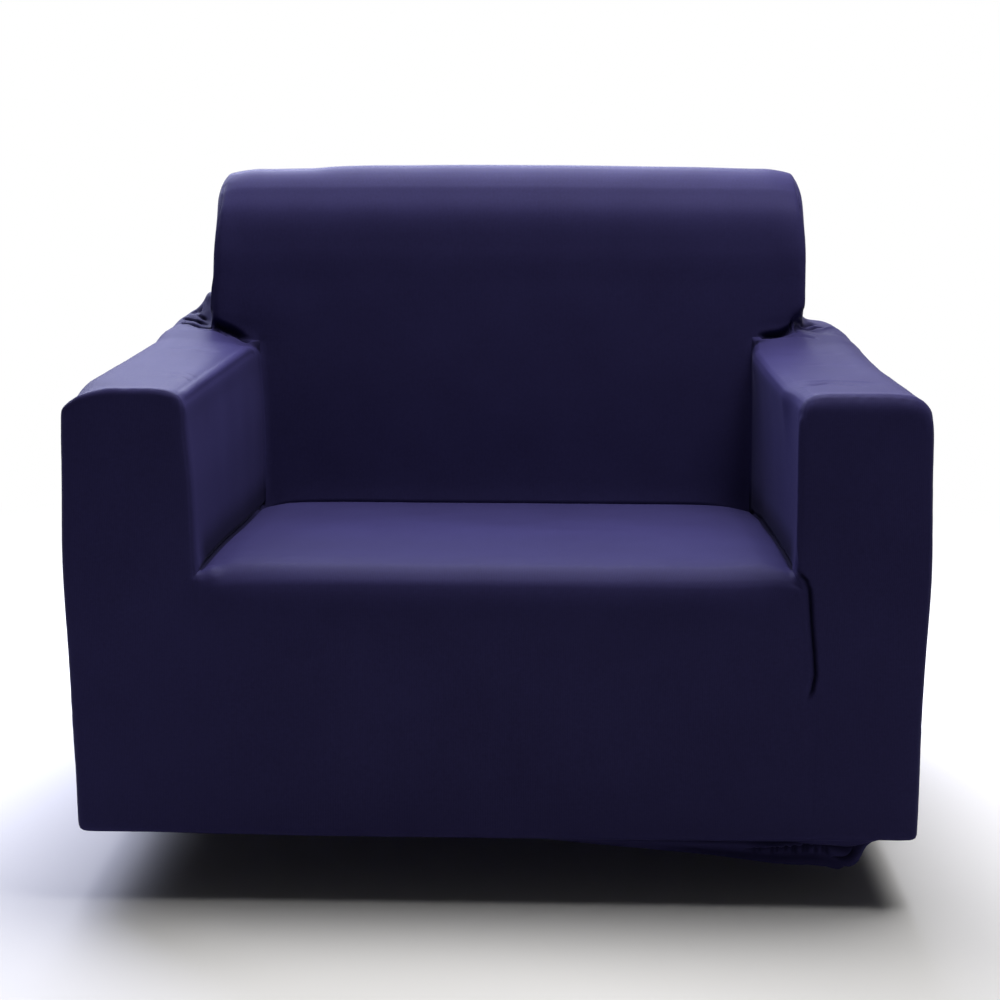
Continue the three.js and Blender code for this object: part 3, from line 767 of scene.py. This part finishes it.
DEEP_INDIGO = (0.0200, 0.0172, 0.0590, 1)
PALE_INDIGO = (0.0265, 0.0235, 0.0790, 1)
# How much of the way from deep to pale each of these makes at its most.
MOTTLE = 0.45
FLECK = 0.35
LOOP_CROWN = 0.1
THREAD = 0.3
# The roughness, and what the flecks and a closed crease add to it.
ROUGHNESS = 0.44
FLECK_ROUGHNESS = 0.12
CREASE_ROUGHNESS = 0.4
# How much of its colour the painted shade in creases and shaded bands takes away, and the stitches'
# height in loops.
PAINTED_SHADE_STRENGTH = 0.95
STITCH_HEIGHT = 1.5


def knit_material():
    """Fine stretch knit: deep indigo, a little paler and mottled on the crown of its loops, with
    shade painted into its creases.
    """
    material = bpy.data.materials.new("stretch_knit")
    material.use_nodes = True
    tree = material.node_tree
    shader = tree.nodes["Principled BSDF"]
    shader.inputs["Specular IOR Level"].default_value = 0.015
    shader.inputs["Sheen Weight"].default_value = 0.06
    shader.inputs["Sheen Roughness"].default_value = 0.12
    shader.inputs["Sheen Tint"].default_value = (0.5, 0.48, 1, 1)
    place = node(tree, "ShaderNodeTexCoord", (-1700, 300))
    mottle = node(tree, "ShaderNodeTexNoise", (-1300, 500), Scale=9.0, Detail=5.0, Roughness=0.6)
    fleck = node(tree, "ShaderNodeTexNoise", (-1300, 250), Scale=260.0, Detail=2.0, Roughness=0.5)
    for noise in (mottle, fleck):
        tree.links.new(place.outputs["Object"], noise.inputs["Vector"])
    loops = knit_loops(tree)
    patch = math_node(tree, "MULTIPLY", (-1050, 500), mottle.outputs["Fac"], MOTTLE)
    specks = math_node(tree, "MULTIPLY_ADD", (-850, 350), fleck.outputs["Fac"], FLECK, patch)
    stitches = hem_stitches(tree)
    shade = math_node(tree, "MULTIPLY_ADD", (-650, 250), loops, LOOP_CROWN, specks)
    shade = math_node(tree, "MULTIPLY_ADD", (-550, 250), stitches, THREAD, shade)
    ramp = node(tree, "ShaderNodeValToRGB", (-450, 250))
    low, high = ramp.color_ramp.elements
    low.position, low.color = 0.25, DEEP_INDIGO
    high.position, high.color = 0.65, PALE_INDIGO
    tree.links.new(shade, ramp.inputs["Fac"])
    # Painted shade: the base colour is darkened where the folds paint shade into it.
    painted_shade = attribute_node(tree, "painted_shade", (-700, 700))
    lit = math_node(tree, "MULTIPLY_ADD", (-450, 700), painted_shade.outputs["Fac"], -PAINTED_SHADE_STRENGTH, 1.0)
    shaded = node(tree, "ShaderNodeVectorMath", (-150, 400))
    shaded.operation = "SCALE"
    tree.links.new(ramp.outputs["Color"], shaded.inputs[0])
    tree.links.new(lit, shaded.inputs["Scale"])
    tree.links.new(shaded.outputs["Vector"], shader.inputs["Base Color"])
    rough = math_node(tree, "MULTIPLY_ADD", (-450, -50), fleck.outputs["Fac"],
                      FLECK_ROUGHNESS, ROUGHNESS)
    rough = math_node(tree, "MULTIPLY_ADD", (-250, -50), painted_shade.outputs["Fac"],
                      CREASE_ROUGHNESS, rough)
    tree.links.new(rough, shader.inputs["Roughness"])
    bump = node(tree, "ShaderNodeBump", (-450, -350), Strength=0.35, Distance=0.0002)
    raised = math_node(tree, "MULTIPLY_ADD", (-650, -350), stitches, STITCH_HEIGHT, loops)
    tree.links.new(raised, bump.inputs["Height"])
    tree.links.new(bump.outputs["Normal"], shader.inputs["Normal"])
    return material


# ---- Stage ----

WHITE = (1, 1, 1, 1)
# The camera's place in millimetres on the chair, its turns in degrees, and its lens and sensor.
CAMERA_PLACE = (68.7, -2237.9, 873.1)
CAMERA_DOWN = 10.103
CAMERA_TO_LEFT = 1.605
CAMERA_ROLL = 0.144
CAMERA_LENS = 73.8
CAMERA_SENSOR = 36


def add_camera():
    data = bpy.data.cameras.new("camera")
    data.lens = CAMERA_LENS
    data.sensor_width = CAMERA_SENSOR
    camera = bpy.data.objects.new("camera", data)
    camera.location = spot(*CAMERA_PLACE)
    turn = Euler((math.radians(90 - CAMERA_DOWN), 0, math.radians(CAMERA_TO_LEFT)))
    roll = Euler((0, 0, math.radians(CAMERA_ROLL)))
    camera.rotation_euler = (turn.to_matrix() @ roll.to_matrix()).to_euler()
    bpy.context.scene.collection.objects.link(camera)
    bpy.context.scene.camera = camera


def add_lamp(name, place, target, size, power, color=(1, 1, 1)):
    """A soft rectangular lamp, in metres and watts, at one spot on the chair and facing another."""
    data = bpy.data.lights.new(name, "AREA")
    data.shape = "RECTANGLE"
    data.size, data.size_y = size
    data.energy = power
    data.color = color
    lamp = bpy.data.objects.new(name, data)
    lamp.location = spot(*place)
    way = Vector(spot(*target)) - lamp.location
    lamp.rotation_euler = way.to_track_quat("-Z", "Y").to_euler()
    bpy.context.scene.collection.objects.link(lamp)


def mixed(tree, share, first, second, place):
    """A mix of two shaders, with that share of the second."""
    mix = node(tree, "ShaderNodeMixShader", place)
    tree.links.new(share, mix.inputs["Fac"])
    tree.links.new(first.outputs[0], mix.inputs[1])
    tree.links.new(second.outputs[0], mix.inputs[2])
    return mix


def seen_white(tree, shown, hidden):
    """Mixes two shaders: one where the camera or a reflection looks, the other for the light."""
    path = node(tree, "ShaderNodeLightPath", (-900, -300))
    looks = math_node(tree, "MAXIMUM", (-700, -300), path.outputs["Is Camera Ray"],
                      path.outputs["Is Glossy Ray"])
    looks = math_node(tree, "MAXIMUM", (-500, -300), looks, path.outputs["Is Transmission Ray"])
    return mixed(tree, looks, hidden, shown, (-200, 0))


WORLD_FILL = 0.03


def add_world():
    """A world that is seen white and gives only a little light."""
    world = bpy.data.worlds.new("studio")
    bpy.context.scene.world = world
    world.use_nodes = True
    tree = world.node_tree
    shown = node(tree, "ShaderNodeBackground", (-500, 200), Color=WHITE, Strength=1.0)
    fill = node(tree, "ShaderNodeBackground", (-500, 0), Color=WHITE, Strength=WORLD_FILL)
    mix = seen_white(tree, shown, fill)
    tree.links.new(mix.outputs[0], tree.nodes["World Output"].inputs["Surface"])


# The floor's half width, and where it starts and ends to fade to white round the cover, in metres.
FLOOR_HALF = 6
SHADOW_START = 0.7
SHADOW_END = 2.4
PALE_FLOOR = (0.62, 0.61, 0.6, 1)


def add_floor():
    """A pale floor that takes the shadow near the cover and is seen plain white further off."""
    mesh = bpy.data.meshes.new("floor")
    corners = [(FLOOR_HALF * x, FLOOR_HALF * y, FLOOR_Z)
               for x, y in ((-1, -1), (1, -1), (1, 1), (-1, 1))]
    mesh.from_pydata(corners, [], [(0, 1, 2, 3)])
    floor = bpy.data.objects.new("floor", mesh)
    material = bpy.data.materials.new("floor")
    material.use_nodes = True
    tree = material.node_tree
    shader = tree.nodes["Principled BSDF"]
    shader.inputs["Base Color"].default_value = PALE_FLOOR
    shader.inputs["Roughness"].default_value = 0.8
    shader.inputs["Specular IOR Level"].default_value = 0.1
    white = node(tree, "ShaderNodeEmission", (-500, 300), Color=WHITE, Strength=1.0)
    seen = seen_white(tree, white, shader)
    geometry = node(tree, "ShaderNodeNewGeometry", (-900, 600))
    middle = sum(CAD_BOX, Vector()) / 2
    away = node(tree, "ShaderNodeVectorMath", (-700, 600))
    away.operation = "DISTANCE"
    away.inputs[1].default_value = (middle.x, middle.y, FLOOR_Z)
    tree.links.new(geometry.outputs["Position"], away.inputs[0])
    far = node(tree, "ShaderNodeMapRange", (-500, 600), From_Min=SHADOW_START,
               From_Max=SHADOW_END)
    far.interpolation_type = "SMOOTHSTEP"
    tree.links.new(away.outputs["Value"], far.inputs["Value"])
    mix = mixed(tree, far.outputs["Result"], shader, seen, (0, 300))
    tree.links.new(mix.outputs[0], tree.nodes["Material Output"].inputs["Surface"])
    mesh.materials.append(material)
    bpy.context.scene.collection.objects.link(floor)


# ---- The cover ----

# Cut sizes in metres and areas in square metres: the knit is cut smaller than its place on the
# chair and stretched to fit.
PANELS = {
    "seat_panel": {"cut": (0.64, 0.85), "area": 0.544},
    "inside_back_panel": {"cut": (0.76, 0.64), "area": 0.398},
    "outside_back_panel": {"cut": (0.90, 0.74), "area": 0.624},
    "arm_panel_left": {"cut": (0.33, 0.54), "area": 0.178},
    "arm_panel_right": {"cut": (0.33, 0.54), "area": 0.178},
    "arm_front_left": {"cut": (0.14, 0.52), "area": 0.068},
    "arm_front_right": {"cut": (0.14, 0.52), "area": 0.068},
    "side_panel_left": {"cut": (0.76, 0.72), "area": 0.426},
    "side_panel_right": {"cut": (0.76, 0.72), "area": 0.426},
}


def build_cover():
    cloth = knit_material()
    sheets = {name: shape_sheet(name) for name in PANELS}
    wear(sheets)
    for name, sheet in sheets.items():
        piece = sheet_object("cloth_" + name, sheet)
        piece.data.materials.append(cloth)
        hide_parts(name)
        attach(piece, "root")


build_cover()
add_camera()
add_world()
add_floor()
add_lamp("window", (-800, 2500, 2200), (0, 300, 500), (3.2, 2.0), 225, (0.72, 0.76, 1))
add_lamp("overhead", (350, 720, 2700), (0, 350, 400), (2.4, 1.6), 136)
bpy.context.scene.view_settings.view_transform = "Standard"
